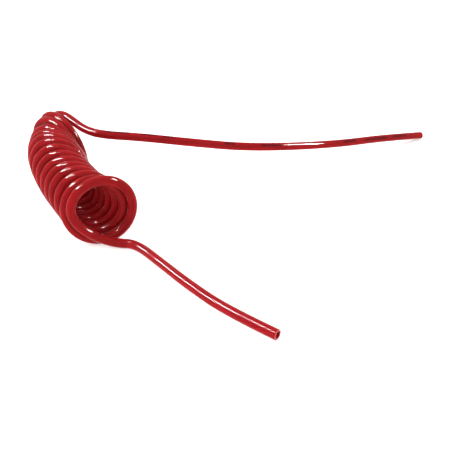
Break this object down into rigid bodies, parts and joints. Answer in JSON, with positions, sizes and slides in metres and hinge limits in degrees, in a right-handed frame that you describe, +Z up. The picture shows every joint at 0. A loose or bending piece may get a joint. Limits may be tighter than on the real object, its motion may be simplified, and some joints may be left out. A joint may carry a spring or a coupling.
{
  "type": "coiled air hose",
  "caption": "Self-coiling plastic air hose: a spiral of close turns lying on its side, with a short lead at one end and a longer lead at the other.",
  "frame": {"origin": "at floor level, under the middle of the whole hose as it lies at rest", "axes": "+Z up; +X to the side that the long lead's cut end lies on; +Y from the short lead's end towards the long lead's end"},
  "size_m": [0.3388, 0.2897, 0.0556],
  "materials": {
    "tube": "smooth, glossy, slightly translucent red polyurethane"
  },
  "bodies": {
    "root": {"front_lead": "tube", "coil": "tube", "rear_lead": "tube"}
  },
  "joints": []
}
